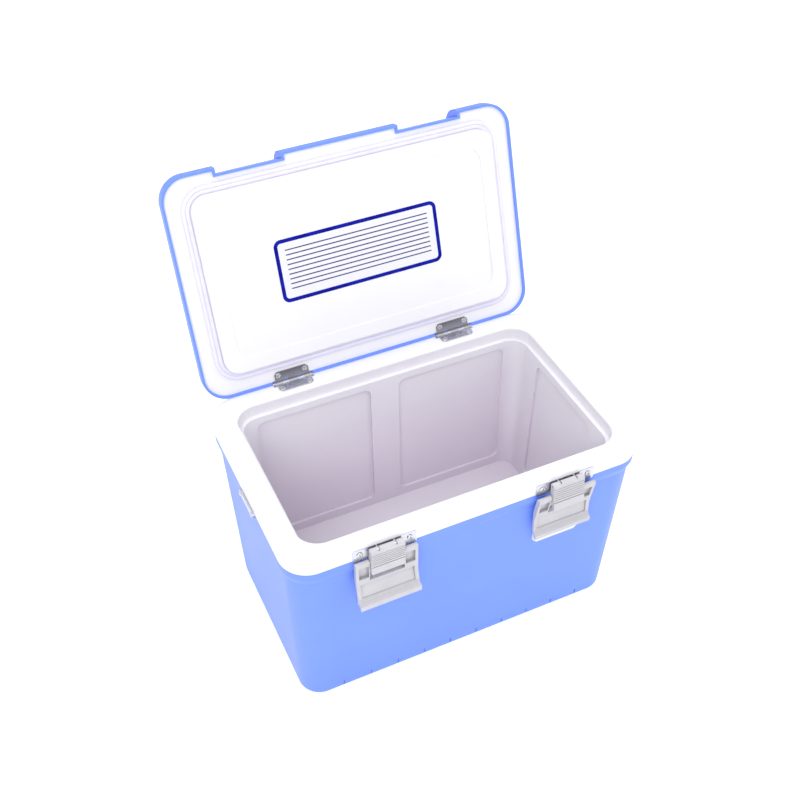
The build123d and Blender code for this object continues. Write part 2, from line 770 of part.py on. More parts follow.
def rest_plate(x):
    """The white plate low on the front wall that the hanging clasp rests against."""
    with BuildPart() as plate:
        with BuildSketch(front_wall) as outline:
            with Locations((x, (rest_bottom + rest_top) / 2 * wall_run)):
                Rectangle(rest_width, (rest_top - rest_bottom) * wall_run)
            chamfer(outline.vertices().group_by(Axis.Y)[0], rest_chamfer)
            with Locations((x, (rest_bottom + rest_slot_height) * wall_run)):
                SlotOverall(rest_slot_length, rest_slot_width, mode=Mode.SUBTRACT)
        extrude(amount=rest_thickness)
        with Locations(*[peg for peg in rest_pegs if abs(peg.position.X - x) < rest_width]):
            Cylinder(peg_diameter / 2, peg_length, align=(Align.CENTER, Align.CENTER, Align.MAX))
    return plate.part


# ---------------------------------------------------------------- strap anchors
def strap_anchor(end):
    """A flat bar across a recess in the end wall, for a carrying strap to loop round."""
    with BuildPart() as bar:
        with BuildSketch(Plane((end * rim_length / 2, anchor_y, anchor_z), x_dir=(0, end, 0), z_dir=(end, 0, 0))):
            SlotOverall(anchor_length, anchor_height)
        extrude(amount=anchor_thickness)
        add(anchor_holes, mode=Mode.SUBTRACT)
    return bar.part


# ---------------------------------------------------------------- write every piece
def write(name, piece):
    """Label one piece and write it to its own file."""
    piece.label = name
    export_step(piece, f"parts/{name}.step")


clasp_pin_length = clasp_window + 11.0
lever_tilts = {"left": left_lever_tilt, "right": right_lever_tilt}
clasp_tilts = {"left": left_clasp_tilt, "right": right_clasp_tilt}

write("outer_shell", outer_shell.part)
write("inner_liner", inner_liner.part)
write("body_foam", body_foam.part)
write("lid_shell", lid_shell.part)
write("lid_liner", lid_liner.part)
write("lid_foam", lid_foam.part)
write("lid_seal", lid_seal.part)
write("label_plate", label_plate.part)

for name, x in hinge_sides.items():
    body_leaf = hinge_leaf(x, leaf_top, flat, 1, hinge_pin_diameter / 2, leaf_top - leaf_thickness / 2)
    lid_leaf = hinge_leaf(x, margin_z, in_lid, 0, bore, margin_z - leaf_thickness / 2)
    write(f"{name}_hinge_body_leaf", body_leaf - body_hinge_holes)
    write(f"{name}_hinge_lid_leaf", lid_leaf - lid_hinge_holes)
    write(f"{name}_hinge_pin", hinge_pin(x))

for name, x in latch_sides.items():
    lever_at = lever_place(x, lever_tilts[name])
    clasp_at = clasp_place(x, lever_tilts[name], clasp_tilts[name])
    write(f"{name}_latch_base", latch_plate(x) - latch_base_holes)
    write(f"{name}_lever_pin", cross_pin(lever_at, lever_width))
    write(f"{name}_latch_lever", latch_lever(lever_at))
    write(f"{name}_clasp_pin", cross_pin(clasp_at, clasp_pin_length))
    write(f"{name}_latch_clasp", latch_clasp(clasp_at))
    write(f"{name}_latch_rest_plate", rest_plate(x))

for name, end in (("left", -1), ("right", 1)):
    write(f"{name}_strap_anchor", strap_anchor(end))

write("hinge_body_screws", Compound([s * screw(hinge_head, hinge_dome, hinge_shank, screw_length)
                                     for s in body_hinge_screws]))
write("hinge_lid_screws", Compound([s * screw(hinge_head, hinge_dome, hinge_shank, screw_length)
                                    for s in lid_hinge_screws]))
write("latch_base_screws", Compound([s * screw(latch_head, latch_head_height, latch_shank, screw_length)
                                     for s in latch_base_screws]))
write("strap_anchor_screws", Compound([s * screw(small_head, hinge_dome * 3, small_shank, anchor_screw_length)
                                       for s in anchor_screws]))
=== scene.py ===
# %% [markdown]
# # Dressing a vaccine carrier
# The carrier is a cool box for vaccines: a blue plastic shell, a white plastic liner, foam between
# them, a hinged lid with the same three layers, and two draw latches. A CAD program has already
# made every piece in metres, in one shared frame, and this lesson gives the pieces their finish,
# adds the fine detail, and sets up the studio. They stay where they are: only their materials
# change.

# %% Load the pieces
import math

import bmesh
import bpy
import numpy as np
from mathutils import Matrix, Vector


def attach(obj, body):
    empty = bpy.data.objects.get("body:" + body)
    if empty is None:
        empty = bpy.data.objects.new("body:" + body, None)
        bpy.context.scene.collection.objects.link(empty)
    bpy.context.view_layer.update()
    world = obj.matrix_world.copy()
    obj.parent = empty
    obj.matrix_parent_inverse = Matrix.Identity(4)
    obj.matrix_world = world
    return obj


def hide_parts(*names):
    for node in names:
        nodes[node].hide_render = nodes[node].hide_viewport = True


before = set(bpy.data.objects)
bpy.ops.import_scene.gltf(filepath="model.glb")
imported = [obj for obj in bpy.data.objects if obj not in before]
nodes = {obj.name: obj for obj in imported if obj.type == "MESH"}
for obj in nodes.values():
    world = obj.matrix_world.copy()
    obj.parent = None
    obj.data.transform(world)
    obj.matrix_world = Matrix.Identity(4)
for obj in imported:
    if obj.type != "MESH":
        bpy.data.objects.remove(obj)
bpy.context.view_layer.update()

# %% [markdown]
# ## The camera
# The box is seen from above and a little from the left.
# A camera can be aimed with a Track To constraint, or its axes can be worked out from three angles.
# The angles are used here, because a small roll has no place in a constraint.

# %% Camera
YAW, PITCH, ROLL = (math.radians(a) for a in (-24.75, 42.44, -0.33))
back = Vector((math.sin(YAW) * math.cos(PITCH), -math.cos(YAW) * math.cos(PITCH), math.sin(PITCH)))
level = (-back).cross(Vector((0, 0, 1))).normalized()
upright = level.cross(-back)
right = level * math.cos(ROLL) + upright * math.sin(ROLL)
up = upright * math.cos(ROLL) - level * math.sin(ROLL)

lens = bpy.data.cameras.new("camera")
lens.lens, lens.sensor_width = 51.43, 36.0
camera = bpy.data.objects.new("camera", lens)
camera.matrix_world = Matrix(
    [(*row, place) for row, place in zip(zip(right, up, back), (-0.3785, -0.7637, 1.0503))] + [(0, 0, 0, 1)]
)
bpy.context.scene.collection.objects.link(camera)
bpy.context.scene.camera = camera
print("camera looks along", [round(v, 3) for v in -back])

# %% [markdown]
# ## The studio
# A white product photograph has one large soft light over the object, a second from the side that
# lifts the shadows, and a bright surround.
# The world could be one flat white, but then metal has nothing to reflect and looks like paint.
# So the world is a gradient by height, with a darker band near the horizon for the metal to catch.
# The camera itself sees plain white there, so that no horizon shows behind the paper.

# %% World
world = bpy.data.worlds.new("studio")
bpy.context.scene.world = world
world.use_nodes = True
sky = world.node_tree
sky.nodes.clear()
surround = sky.nodes.new("ShaderNodeOutputWorld")
glow = sky.nodes.new("ShaderNodeBackground")
glow.inputs["Strength"].default_value = 0.92
bands = sky.nodes.new("ShaderNodeValToRGB")
height = sky.nodes.new("ShaderNodeSeparateXYZ")
direction = sky.nodes.new("ShaderNodeTexCoord")
sky.links.new(direction.outputs["Generated"], height.inputs[0])
sky.links.new(height.outputs["Z"], bands.inputs["Fac"])
sky.links.new(bands.outputs["Color"], glow.inputs["Color"])
backdrop = sky.nodes.new("ShaderNodeBackground")
backdrop.inputs["Color"].default_value = (1.0, 1.0, 1.0, 1)
backdrop.inputs["Strength"].default_value = 1.0
seen_by = sky.nodes.new("ShaderNodeLightPath")
either = sky.nodes.new("ShaderNodeMixShader")
sky.links.new(seen_by.outputs["Is Camera Ray"], either.inputs["Fac"])
sky.links.new(glow.outputs[0], either.inputs[1])
sky.links.new(backdrop.outputs[0], either.inputs[2])
sky.links.new(either.outputs[0], surround.inputs["Surface"])
ramp = bands.color_ramp
ramp.elements[0].position, ramp.elements[0].color = 0.0, (0.60, 0.61, 0.66, 1)
ramp.elements[1].position, ramp.elements[1].color = 0.62, (1.0, 1.0, 1.0, 1)
dark = ramp.elements.new(0.16)
dark.color = (0.48, 0.49, 0.56, 1)
bpy.context.scene.view_settings.view_transform = "Standard"
print("world bands", len(ramp.elements))

# %% [markdown]
# Area lights are flat panels, like a photographer's softboxes. A wide panel close to the object
# gives soft shadows, and each one is aimed at the middle of the box.

# %% Softboxes
MIDDLE = Vector((0.0, 0.0, 0.2))


def softbox(name, place, width, power, tint):
    """A square area light of that width in metres at place, facing the middle of the box."""
    panel = bpy.data.lights.new(name, "AREA")
    panel.shape, panel.size, panel.energy, panel.color = "SQUARE", width, power, tint
    lamp = bpy.data.objects.new(name, panel)
    lamp.location = place
    lamp.rotation_euler = (MIDDLE - Vector(place)).to_track_quat("-Z", "Y").to_euler()
    bpy.context.scene.collection.objects.link(lamp)
    return lamp


lamps = [
    softbox("key", (-0.9, -1.3, 1.7), 1.3, 24, (1.0, 1.0, 1.0)),
    softbox("fill", (1.6, -0.9, 1.1), 1.6, 8, (0.97, 0.98, 1.0)),
    softbox("top", (0.1, 0.5, 2.0), 1.6, 10, (1.0, 1.0, 1.0)),
]
print("lamps", [lamp.name for lamp in lamps])

# %% [markdown]
# ## A kit for node materials
# Every finish here is a Principled shader with a few texture nodes that change its colour, its
# roughness and its bumps. Each node takes several lines to make by hand, so one helper makes a
# node, sets its sockets and links it in a single call.

# %% Node kit
class Finish:
    """A new material whose nodes are added one call at a time; `point` is the Object coordinate."""

    def __init__(self, name, colour, roughness, **sockets):
        self.material = bpy.data.materials.new(name)
        self.material.use_nodes = True
        self.tree = self.material.node_tree
        self.shader = self.tree.nodes["Principled BSDF"]
        self.shader.inputs["Base Color"].default_value = (*colour, 1)
        self.shader.inputs["Roughness"].default_value = roughness
        for socket, value in sockets.items():
            self.shader.inputs[socket.replace("_", " ")].default_value = value
        self.point = self.node("ShaderNodeTexCoord").outputs["Object"]

    def node(self, kind, links=(), **settings):
        """A node of that kind; links pairs sockets with what feeds them, settings are its values."""
        made = self.tree.nodes.new(kind)
        for name, value in settings.items():
            setattr(made, name, value)
        for socket, source in dict(links).items():
            if hasattr(source, "is_linked"):
                self.tree.links.new(source, made.inputs[socket])
            else:
                made.inputs[socket].default_value = source
        return made

    def noise(self, scale, detail=2.0, rough=0.5, point=None):
        """Cloudy noise from 0 to 1, with that many cells to the metre."""
        links = {"Vector": point or self.point, "Scale": scale, "Detail": detail, "Roughness": rough}
        return self.node("ShaderNodeTexNoise", links).outputs["Fac"]

    def remap(self, value, low, high, to_low, to_high):
        """The value moved from the range low to high into the range to_low to to_high, and held there."""
        links = {"Value": value, "From Min": low, "From Max": high, "To Min": to_low, "To Max": to_high}
        return self.node("ShaderNodeMapRange", links).outputs["Result"]

    def mixed(self, share, one, other):
        """The colour one where share is 0, other where it is 1."""
        made = self.node("ShaderNodeMix", data_type="RGBA")
        ends = {0: share, 6: one, 7: other}
        for place, source in ends.items():
            if hasattr(source, "is_linked"):
                self.tree.links.new(source, made.inputs[place])
            else:
                made.inputs[place].default_value = source if place == 0 else (*source, 1)
        return made.outputs[2]

    def worn(self, radius, sharp=6.0):
        """1 along outside and inside edges, 0 on flats: how far a rounded normal leans from the true one."""
        soft = self.node("ShaderNodeBevel", {"Radius": radius}, samples=4).outputs[0]
        true = self.node("ShaderNodeNewGeometry").outputs["Normal"]
        dot = self.node("ShaderNodeVectorMath", {0: soft, 1: true}, operation="DOT_PRODUCT").outputs["Value"]
        return self.remap(dot, 1.0, 1.0 - 1.0 / sharp, 0.0, 1.0)

    def hollow(self, reach):
        """1 deep in a hollow narrower than reach, 0 in the open: how far the near space is walled in."""
        links = {"Distance": reach}
        seen = self.node("ShaderNodeAmbientOcclusion", links, samples=8, only_local=True).outputs["AO"]
        return self.remap(seen, 0.95, 0.45, 0.0, 1.0)

    def feed(self, socket, source):
        """Links source to a socket of the shader."""
        self.tree.links.new(source, self.shader.inputs[socket])

    def bump(self, *layers):
        """Bumps laid over each other, each as (height 0 to 1, depth in metres)."""
        normal = None
        for height_map, depth in layers:
            links = {"Height": height_map, "Distance": depth, "Strength": 1.0}
            if normal:
                links["Normal"] = normal
            normal = self.node("ShaderNodeBump", links).outputs["Normal"]
        self.feed("Normal", normal)


def dress(finish, *names):
    """Gives the CAD pieces of those names the finish, in every material slot they have."""
    for name in names:
        mesh = nodes[name].data
        mesh.materials.clear()
        mesh.materials.append(finish.material)
    print(finish.material.name, "on", ", ".join(names))


# %% [markdown]
# ## Blue moulded plastic
# The outer shells are injection-moulded polypropylene. The mould has a fine spark-eroded grain, so
# the surface is a satin with soft highlights, and handling has rubbed the edges smoother and paler.
# Narrow grooves, such as the ticks along the lower edge, are painted darker: painted shade, where less light gets
# in.
# A real grain of 0.3 mm could be displaced geometry, but a bump map costs nothing and looks the same
# at this distance.

# %% Shell finish
blue_shell = Finish("shell_blue", (0.150, 0.285, 0.90), 0.42, IOR=1.49, Coat_Weight=0.12, Coat_Roughness=0.25)
cloud = blue_shell.noise(9.0, 3.0)
grain = blue_shell.noise(2600.0, 1.0)
flow = blue_shell.noise(55.0, 2.0)
blue_edge = blue_shell.worn(0.0012)
blue_tone = blue_shell.mixed(blue_shell.remap(cloud, 0.35, 0.65, 0.0, 1.0),
                             (0.122, 0.240, 0.88), (0.135, 0.258, 0.91))
blue_rub = blue_shell.remap(blue_edge, 0.0, 1.0, 0.0, 0.35)
rubbed = blue_shell.mixed(blue_rub, blue_tone, (0.24, 0.38, 0.96))
# painted shade: the blue turns deep navy in hollows narrower than 3 mm
painted_groove_shade = blue_shell.remap(blue_shell.hollow(0.003), 0.0, 1.0, 0.0, 0.6)
blue_shell.feed("Base Color", blue_shell.mixed(painted_groove_shade, rubbed, (0.03, 0.07, 0.42)))
blue_shell.feed("Roughness", blue_shell.remap(cloud, 0.3, 0.7, 0.38, 0.47))
blue_shell.bump((grain, 0.00006), (flow, 0.00008))
dress(blue_shell, "outer_shell", "lid_shell")

# %% [markdown]
# ## White moulded plastic
# The liner and the lid's inner tray are smooth white polystyrene, easy to wipe clean. Light goes a
# little way into it, which rounds off the shadows, and faint scuffs break up the gloss.
# Deep in the box the colour is painted greyer and more lavender: painted shade for the depths, which see less of
# the sky.
# How deep a point lies is read from how much of its near surroundings is walled in.

# %% Liner finish
white_liner = Finish("liner_white", (0.86, 0.86, 0.885), 0.34, IOR=1.5, Subsurface_Weight=0.10,
                     Subsurface_Radius=(0.004, 0.004, 0.005), Subsurface_Scale=1.0)
haze = white_liner.noise(14.0, 4.0)
scuff = white_liner.noise(240.0, 5.0, 0.7)
ripple = white_liner.noise(38.0, 1.0)
white_tone = white_liner.mixed(white_liner.remap(haze, 0.35, 0.7, 0.0, 1.0),
                               (0.80, 0.795, 0.825), (0.78, 0.775, 0.81))
# painted shade: the white is painted lavender grey where the walls close in the view of the sky
open_sky = white_liner.node("ShaderNodeAmbientOcclusion", {"Distance": 0.30}, samples=8,
                            only_local=True).outputs["AO"]
deep = white_liner.remap(open_sky, 0.55, 0.15, 0.0, 1.0)
white_liner.feed("Base Color", white_liner.mixed(deep, white_tone, (0.68, 0.62, 0.71)))
white_liner.feed("Roughness", white_liner.remap(scuff, 0.4, 0.75, 0.30, 0.48))
white_liner.bump((ripple, 0.00010), (scuff, 0.00001))
dress(white_liner, "inner_liner", "lid_liner")

# %% [markdown]
# ## Pressed steel
# The hinges and the latch plates are pressed from zinc-plated strip. Plating is bright but not a
# mirror: rolling leaves fine lines along the strip, and the zinc has a cloudy bloom.
# The lines are noise stretched along X, which is the strip's length.

# %% Steel finish
steel = Finish("steel_plated", (0.60, 0.60, 0.63), 0.26, Metallic=1.0)
STRIP_STRETCH, STRIP_DEPTH = (40.0, 1500.0, 1500.0), 0.000004
along = steel.node("ShaderNodeMapping", {"Vector": steel.point, "Scale": STRIP_STRETCH}).outputs[0]
lines = steel.noise(1.0, 2.0, point=along)
zinc = steel.noise(160.0, 3.0)
steel_edge = steel.worn(0.0004)
steel_tone = steel.mixed(steel.remap(zinc, 0.3, 0.7, 0.0, 1.0), (0.57, 0.58, 0.63), (0.62, 0.63, 0.67))
steel.feed("Base Color", steel.mixed(steel_edge, steel_tone, (0.82, 0.82, 0.84)))
steel.feed("Roughness", steel.remap(zinc, 0.3, 0.7, 0.22, 0.30))
steel.bump((lines, STRIP_DEPTH))
dress(steel, *[n for n in nodes if n.endswith(("_leaf", "_pin", "_base", "_anchor"))])

# %% [markdown]
# The leaves on the lid face the hand that lifts it. Their colour is painted dark, most of all away
# from the pins: a painted reflection of dark surroundings, in a finish of their own whose tone changes with the
# height above the rim.

# %% Lid leaf finish
leaf_steel_painted_dark = Finish("steel_painted_reflection", (0.30, 0.30, 0.33), 0.32, Metallic=1.0)
rise_above = leaf_steel_painted_dark.node("ShaderNodeSeparateXYZ", {0: leaf_steel_painted_dark.point}).outputs["Z"]
leaf_roughness_mottle = leaf_steel_painted_dark.noise(120.0, 3.0)
# painted reflection: the leaf is painted from mid grey near the pins to near black above the rim
leaf_painted_reflection_tone = leaf_steel_painted_dark.mixed(leaf_steel_painted_dark.remap(rise_above, 0.240, 0.255, 0.0, 1.0),
                             (0.50, 0.50, 0.54), (0.09, 0.09, 0.11))
leaf_steel_painted_dark.feed("Base Color", leaf_steel_painted_dark.mixed(leaf_steel_painted_dark.worn(0.0004), leaf_painted_reflection_tone, (0.62, 0.62, 0.65)))
leaf_steel_painted_dark.feed("Roughness", leaf_steel_painted_dark.remap(leaf_roughness_mottle, 0.3, 0.7, 0.26, 0.36))
leaf_along = leaf_steel_painted_dark.node("ShaderNodeMapping",
                             {"Vector": leaf_steel_painted_dark.point, "Scale": STRIP_STRETCH}).outputs[0]
leaf_steel_painted_dark.bump((leaf_steel_painted_dark.noise(1.0, 2.0, point=leaf_along), STRIP_DEPTH))
dress(leaf_steel_painted_dark, "left_hinge_lid_leaf", "right_hinge_lid_leaf")

# %% [markdown]
# Screws are plated in a drum, where they knock against each other, so they are brighter and rougher
# than the strip, with no lines along them. The cross recess and the thread are painted near black as painted
# shade.

# %% Screw finish
screw_steel = Finish("screw_plated", (0.66, 0.66, 0.68), 0.28, Metallic=1.0)
knock = screw_steel.noise(900.0, 3.0)
# painted shade: near black deep in the cross recess and the thread
painted_recess_shade = screw_steel.remap(screw_steel.hollow(0.0012), 0.0, 1.0, 0.0, 0.85)
screw_tone = screw_steel.mixed(screw_steel.remap(knock, 0.35, 0.65, 0.0, 1.0),
                               (0.62, 0.62, 0.65), (0.72, 0.72, 0.74))
screw_steel.feed("Base Color", screw_steel.mixed(painted_recess_shade, screw_tone, (0.10, 0.11, 0.16)))
screw_steel.feed("Roughness", screw_steel.remap(knock, 0.3, 0.7, 0.22, 0.36))
screw_steel.bump((knock, 0.00001))
print("screw finish", len(screw_steel.tree.nodes), "nodes")

# %% [markdown]
# ## Grey latch plastic
# The levers and clasps are moulded in light grey acetal, which is tough and slippery. Fingers polish
# the edges, and the hollows are painted darker as painted shade.

# %% Latch finish
latch_grey = Finish("latch_acetal", (0.60, 0.59, 0.62), 0.45, IOR=1.48)
hand = latch_grey.noise(60.0, 3.0)
pores = latch_grey.noise(1700.0, 2.0)
grey_edge = latch_grey.worn(0.0006)
# painted shade: the grey is painted darker in hollows narrower than 6 mm
painted_hollow_shade = latch_grey.remap(latch_grey.hollow(0.006), 0.0, 1.0, 0.0, 0.75)
grey_tone = latch_grey.mixed(latch_grey.remap(hand, 0.35, 0.7, 0.0, 1.0),
                             (0.51, 0.50, 0.525), (0.48, 0.47, 0.495))
shaded_grey_tone = latch_grey.mixed(painted_hollow_shade, grey_tone, (0.26, 0.25, 0.255))
grey_rub = latch_grey.remap(grey_edge, 0.0, 1.0, 0.0, 0.35)
latch_grey.feed("Base Color", latch_grey.mixed(grey_rub, shaded_grey_tone, (0.60, 0.59, 0.62)))
latch_grey.feed("Roughness", latch_grey.remap(hand, 0.3, 0.7, 0.38, 0.48))
latch_grey.bump((pores, 0.00004))
dress(latch_grey, *[n for n in nodes if n.endswith(("_lever", "_clasp"))])

# %% [markdown]
# ## White rest plates
# A rest plate keeps the hanging clasp off the blue wall. It is a plain white moulding, duller than
# the liner because nothing polishes it.

# %% Rest plate finish
plate_white = Finish("plate_white", (0.80, 0.80, 0.83), 0.5, IOR=1.48)
chalk = plate_white.noise(70.0, 3.0)
plate_grain = plate_white.noise(1500.0, 2.0)
plate_tone = plate_white.mixed(plate_white.remap(chalk, 0.35, 0.7, 0.0, 1.0),
                               (0.76, 0.755, 0.79), (0.72, 0.72, 0.75))
plate_white.feed("Base Color", plate_tone)
plate_white.feed("Roughness", plate_white.remap(chalk, 0.3, 0.7, 0.42, 0.58))
plate_white.bump((plate_grain, 0.00004))
dress(plate_white, "left_latch_rest_plate", "right_latch_rest_plate")

# %% [markdown]
# ## Foam
# The rigid polyurethane foam fills the walls, out of sight. It is still a real piece, so it gets the
# look that a cut through the wall would show: a creamy mass of small closed cells.

# %% Foam finish
foam = Finish("foam_cream", (0.86, 0.80, 0.60), 0.9)
cells = foam.node("ShaderNodeTexVoronoi", {"Vector": foam.point, "Scale": 900.0}).outputs["Distance"]
age = foam.noise(12.0, 3.0)
foam.feed("Base Color", foam.mixed(foam.remap(age, 0.3, 0.7, 0.0, 1.0),
                                   (0.88, 0.83, 0.64), (0.78, 0.68, 0.44)))
foam.feed("Roughness", foam.remap(cells, 0.0, 0.6, 0.95, 0.8))
foam.bump((cells, 0.0003))
dress(foam, "body_foam", "lid_foam")

# %% [markdown]
# ## From a grid of points to a piece
# The small pieces that follow are surfaces: every point is a function of two parameters, so a whole
# piece is one array of rows and columns. The faces between neighbouring rows and columns are worked
# out the same way, as arrays of point numbers, and Blender takes both in one call.

# %% Rings of points
def tube_faces(rows, columns):
    """Quads between the rows of a rows x columns grid whose columns close into a ring."""
    row, column = np.meshgrid(np.arange(rows - 1), np.arange(columns), indexing="ij")
    after = (column + 1) % columns
    here, below = row * columns, (row + 1) * columns
    return np.stack([here + column, here + after, below + after, below + column], axis=-1).reshape(-1, 4)


def closed_faces(rows, columns):
    """The quads of a tube and a fan of triangles at each end, round two more points after the grid's."""
    ring = np.arange(columns)
    after = (ring + 1) % columns
    first = np.stack([np.full(columns, rows * columns), after, ring], axis=-1)
    foot = (rows - 1) * columns
    last = np.stack([np.full(columns, rows * columns + 1), foot + ring, foot + after], axis=-1)
    return tube_faces(rows, columns).tolist() + first.tolist() + last.tolist()


def with_poles(grid):
    """The grid's points as one list, followed by the middle of its first row and of its last."""
    return np.concatenate([grid.reshape(-1, 3), grid[:1].mean(axis=1), grid[-1:].mean(axis=1)])


def piece(name, parts, finish, body, node, smooth=True):
    """One object from several (points, faces) pairs, in its finish, riding on a body in a node's place."""
    shape = bmesh.new()
    for points, faces in parts:
        mesh = bpy.data.meshes.new(name)
        mesh.from_pydata(points.tolist(), [], faces)
        shape.from_mesh(mesh)
        bpy.data.meshes.remove(mesh)
    bmesh.ops.recalc_face_normals(shape, faces=shape.faces)
    mesh = bpy.data.meshes.new(name)
    shape.to_mesh(mesh)
    shape.free()
    mesh.polygons.foreach_set("use_smooth", np.full(len(mesh.polygons), smooth))
    mesh.materials.append(finish.material)
    thing = bpy.data.objects.new(name, mesh)
    bpy.context.scene.collection.objects.link(thing)
    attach(thing, body)
    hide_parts(node)
    print(name, "has", len(mesh.polygons), "faces and rides on", body)
    return thing


# %% [markdown]
# The lid stands open. A point of the shut lid is turned about the hinge pins to find its open place,
# which is the same turn that the CAD program gave the lid.

# %% Open the lid
HINGE_Y, HINGE_Z = 0.1186, 0.2386
OPEN = math.radians(-108.7)


def in_lid(points):
    """Points of the shut lid, turned about the X line through the hinge pins by the lid's opening."""
    x, y, z = points[..., 0], points[..., 1] - HINGE_Y, points[..., 2] - HINGE_Z
    return np.stack([x, HINGE_Y + y * math.cos(OPEN) - z * math.sin(OPEN),
                     HINGE_Z + y * math.sin(OPEN) + z * math.cos(OPEN)], axis=-1)


print("the lid's far corner stands at", in_lid(np.array([0.192, -0.122, 0.239])).round(3))

# %% [markdown]
# ## Screws
# Pan-head screws hold the hinges, the latch plates and the strap bars. A head is a low dome with a
# cross recess for the driver, and below it runs a threaded shank that ends in a point.
# A boolean cut would give the recess, but a dome whose height is a function of radius and angle needs
# no cut: where the point lies in an arm of the cross, the height is lowered.

# %% One screw
def cross_recess(x, y, arm, width, depth):
    """Depth of a cross recess: full along both arms, fading to 0 at arm from the middle and width aside."""
    side = np.minimum(np.abs(x), np.abs(y))
    across = np.clip((width - side) / (0.3 * width), 0, 1)
    return depth * across * np.clip(1.0 - np.hypot(x, y) / arm, 0, 1) ** 0.5


def screw_grid(head, rise, shank, length, sweep=72):
    """Rows round a screw, from the middle of its head to its point, with the head's seat at z = 0.

    The head's height is rise * (0.35 + 0.65 * sqrt(1 - (r / edge)^2)), less the cross recess. The
    shank's radius is a core plus a ridge that follows z / pitch + angle / turn, which is a thread.
    """
    edge = head / 2
    turn = np.arange(sweep) / sweep * 2 * math.pi
    radius = edge * np.linspace(0.03, 1.0, 26)[:, None] * np.ones(sweep)
    x, y = radius * np.cos(turn), radius * np.sin(turn)
    dome = rise * (0.35 + 0.65 * np.sqrt(np.clip(1 - (radius / edge) ** 2, 0, 1)))
    recess = cross_recess(x, y, edge * 0.66, edge * 0.17, rise * 0.55 + 0.0003)
    top = np.stack([x, y, dome - recess], axis=-1)
    seat = np.stack([edge * np.cos(turn), edge * np.sin(turn), np.zeros(sweep)], axis=-1)[None]
    down = np.linspace(-0.0002, -length, 60)[:, None]
    ridge = np.abs((-down / 0.0012 + turn / (2 * math.pi)) % 1.0 - 0.5) * 2
    point = np.clip((length + down) / (shank * 0.6), 0.04, 1)
    body = shank / 2 * (0.74 + 0.24 * ridge) * point
    stem = np.stack([body * np.cos(turn), body * np.sin(turn), down * np.ones(sweep)], axis=-1)
    return np.concatenate([top, seat, stem])


# %% [markdown]
# A screw is turned from Z to the way its head faces, and no two of them stop with their crosses at
# the same angle, because each was driven by hand until it was tight.

# %% Drive the screws
def driven(places, axis, *size):
    """Equal screws at several places with their heads facing along axis, each stopped at its own angle."""
    grid = screw_grid(*size)
    aim = np.array(Vector(axis).to_track_quat("Z", "Y").to_matrix())
    faces = closed_faces(*grid.shape[:2])
    parts = []
    for count, place in enumerate(places):
        spin = np.array(Matrix.Rotation(0.4 + 1.3 * count, 3, "Z"))
        parts.append((with_poles(grid) @ spin.T @ aim.T + np.array(place), faces))
    return parts


HINGE_X, HINGE_HALF, HINGE_SCREW_Y = 0.0965, 0.0151, 0.110
LATCH_X, LATCH_HALF = 0.0985, 0.0261
BODY_LEAF_TOP, LID_LEAF_FACE = 0.2394, 0.2409
BAR_X, BAR_Z = 0.1976, 0.2140
# head width, head rise, shank width and length of each kind
HINGE_SCREW = (0.0058, 0.0006, 0.003, 0.009)
LATCH_SCREW = (0.006, 0.0017, 0.0032, 0.009)
BAR_SCREW = (0.0052, 0.0012, 0.0024, 0.007)

pairs = [side * HINGE_X + half for side in (-1, 1) for half in (-HINGE_HALF, HINGE_HALF)]
body_screws = driven([(x, HINGE_SCREW_Y, BODY_LEAF_TOP) for x in pairs], (0, 0, 1), *HINGE_SCREW)
shut_screws = driven([(x, HINGE_SCREW_Y, LID_LEAF_FACE) for x in pairs], (0, 0, -1), *HINGE_SCREW)
lid_screws = [(in_lid(points), faces) for points, faces in shut_screws]
ends = [side * LATCH_X + half for side in (-1, 1) for half in (-LATCH_HALF, LATCH_HALF)]
latch_screws = driven([(x, -0.12295, 0.2238) for x in ends], (0, -1, 0), *LATCH_SCREW)
left_bar = driven([(-BAR_X, y, BAR_Z) for y in (-0.024, 0.008)], (-1, 0, 0), *BAR_SCREW)
right_bar = driven([(BAR_X, y, BAR_Z) for y in (-0.024, 0.008)], (1, 0, 0), *BAR_SCREW)
piece("box_hinge_screw_set", body_screws, screw_steel, "box", "hinge_body_screws")
piece("lid_hinge_screw_set", lid_screws, screw_steel, "lid", "hinge_lid_screws")
piece("latch_screw_set", latch_screws, screw_steel, "box", "latch_base_screws")
piece("strap_bar_screw_set", left_bar + right_bar, screw_steel, "box", "strap_anchor_screws")

# %% [markdown]
# ## The seal
# The gasket is soft pale thermoplastic rubber that runs round the lid's plug. Its skin is pressed
# against the rim by the latches, so it is made as two soft lips with a valley between them.
# It is a profile carried along a path: the path is a rounded rectangle, and at every point of it the
# profile is laid out along the outward direction and the height.

# %% Rounded rectangle
def rounded_loop(length, width, corner, per_corner=14, per_side=24):
    """Points and outward directions round a rectangle with round corners, as two arrays of x and y.

    Each corner is a quarter circle about its own centre, and each side is a straight run.
    """
    points, outs = [], []
    for quarter, (sx, sy) in enumerate(((1, 1), (-1, 1), (-1, -1), (1, -1))):
        angle = np.linspace(quarter, quarter + 1, per_corner) * math.pi / 2
        out = np.stack([np.cos(angle), np.sin(angle)], axis=-1)
        centre = np.array([sx * (length / 2 - corner), sy * (width / 2 - corner)])
        arc = centre + corner * out
        points.append(arc)
        outs.append(out)
        nx, ny = ((-1, 1), (-1, -1), (1, -1), (1, 1))[quarter]
        after = np.array([nx * (length / 2 - corner), ny * (width / 2 - corner)]) + corner * out[-1]
        share = np.linspace(0, 1, per_side + 2)[1:-1, None]
        points.append(arc[-1] + share * (after - arc[-1]))
        outs.append(np.repeat(out[-1:], per_side, axis=0))
    return np.concatenate(points), np.concatenate(outs)


